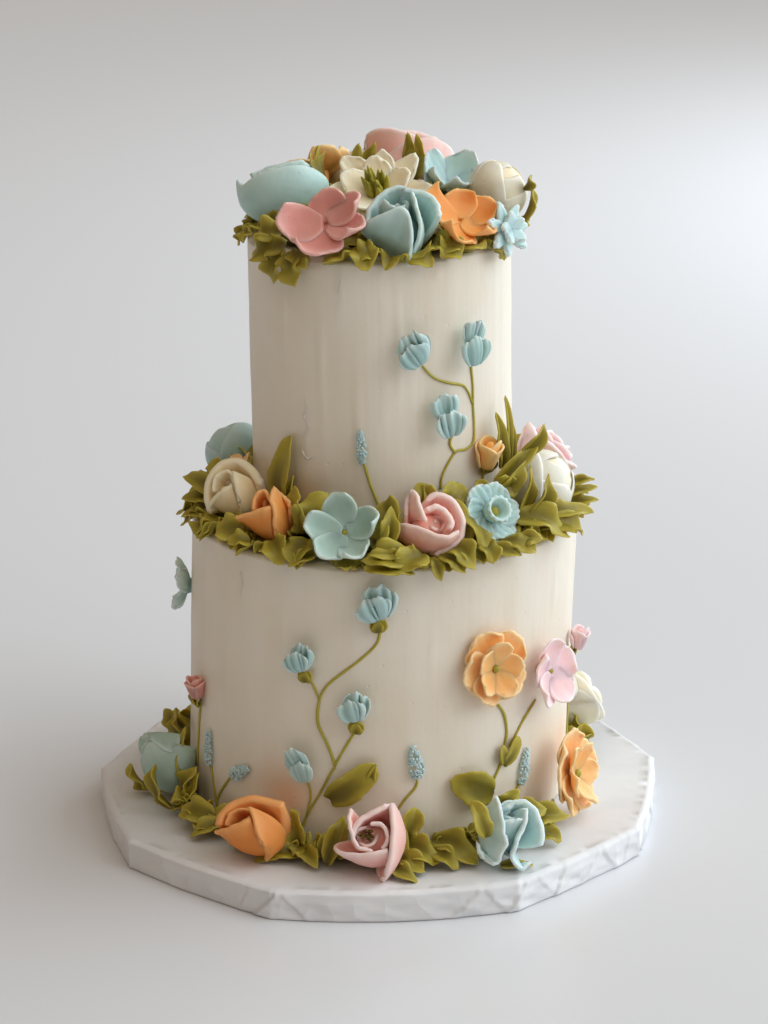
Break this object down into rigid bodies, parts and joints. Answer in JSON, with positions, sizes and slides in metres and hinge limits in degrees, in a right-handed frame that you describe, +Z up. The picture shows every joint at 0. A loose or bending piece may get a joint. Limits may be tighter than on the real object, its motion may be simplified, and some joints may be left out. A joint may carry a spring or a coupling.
{
  "type": "two-tier flower cake",
  "caption": "Tall two-tier iced cake on a wrapped round board, with piped roses, blossoms and leaves on its top, ledge, walls and foot.",
  "frame": {"origin": "centre of the board's underside", "axes": "+Z up; -Y is the front, the side with the climbing flowers; +X is the cake's right as seen from the front"},
  "size_m": [0.2366, 0.2331, 0.2824],
  "materials": {
    "board_wrap": "satin",
    "icing": "satin",
    "flower_blue": "satin",
    "flower_pale_blue": "satin",
    "flower_pink": "satin",
    "flower_orange": "satin",
    "flower_cream": "satin",
    "leaf": "satin"
  },
  "bodies": {
    "root": {"board": "board_wrap", "tier_bottom": "icing", "tier_top": "icing", "crown_rose_blue_left": "flower_blue", "crown_blossom_orange_rear": "flower_orange", "crown_blossom_pink": "flower_pink", "crown_rose_pink_rear": "flower_pink", "crown_daisy_cream": "flower_cream", "crown_cup_blue": "flower_pale_blue", "crown_rose_blue_front": "flower_blue", "crown_blossom_orange": "flower_orange", "crown_rose_cream": "flower_cream", "crown_star_blue": "flower_pale_blue", "crown_rose_cream_rear": "flower_cream", "crown_blossom_blue_rear": "flower_blue", "ledge_rose_blue": "flower_blue", "ledge_blossom_orange_small": "flower_orange", "ledge_rose_cream": "flower_cream", "ledge_rose_orange": "flower_orange", "ledge_blossom_blue": "flower_blue", "ledge_rose_pink": "flower_pink", "ledge_daffodil_blue": "flower_blue", "ledge_bud_cream": "flower_cream", "ledge_rose_pink_side": "flower_pink", "ledge_blossom_orange_rear": "flower_orange", "ledge_rose_blue_rear": "flower_blue", "ledge_blossom_pink_rear": "flower_pink", "ledge_rose_cream_rear": "flower_cream", "foot_rose_blue_left": "flower_blue", "foot_rose_orange": "flower_orange", "foot_rose_pink": "flower_pink", "foot_rose_blue": "flower_pale_blue", "foot_blossom_orange": "flower_orange", "foot_blossom_cream": "flower_cream", "foot_rose_pink_rear": "flower_pink", "foot_blossom_blue_rear": "flower_blue", "foot_rose_cream_rear": "flower_cream", "foot_rose_orange_rear": "flower_orange", "wall_blossom_orange": "flower_orange", "wall_blossom_pink": "flower_pink", "wall_blossom_blue_left": "flower_pale_blue", "wall_blossom_orange_rear": "flower_orange", "wall_blossom_pink_rear": "flower_pink", "wall_bud_pink_left": "flower_pink", "wall_bud_pink_right": "flower_pink", "wall_bud_orange": "flower_orange", "sprig_blue_low_1": "flower_pale_blue", "sprig_blue_low_2": "flower_pale_blue", "sprig_blue_low_3": "flower_pale_blue", "sprig_blue_low_4": "flower_pale_blue", "sprig_blue_high_1": "flower_pale_blue", "sprig_blue_high_2": "flower_pale_blue", "sprig_blue_high_3": "flower_pale_blue", "leaf_bed_crown": "leaf", "leaf_bed_ledge_1": "leaf", "leaf_bed_ledge_2": "leaf", "leaf_bed_ledge_3": "leaf", "leaf_bed_foot_1": "leaf", "leaf_bed_foot_2": "leaf", "leaf_bed_foot_3": "leaf"}
  },
  "joints": []
}
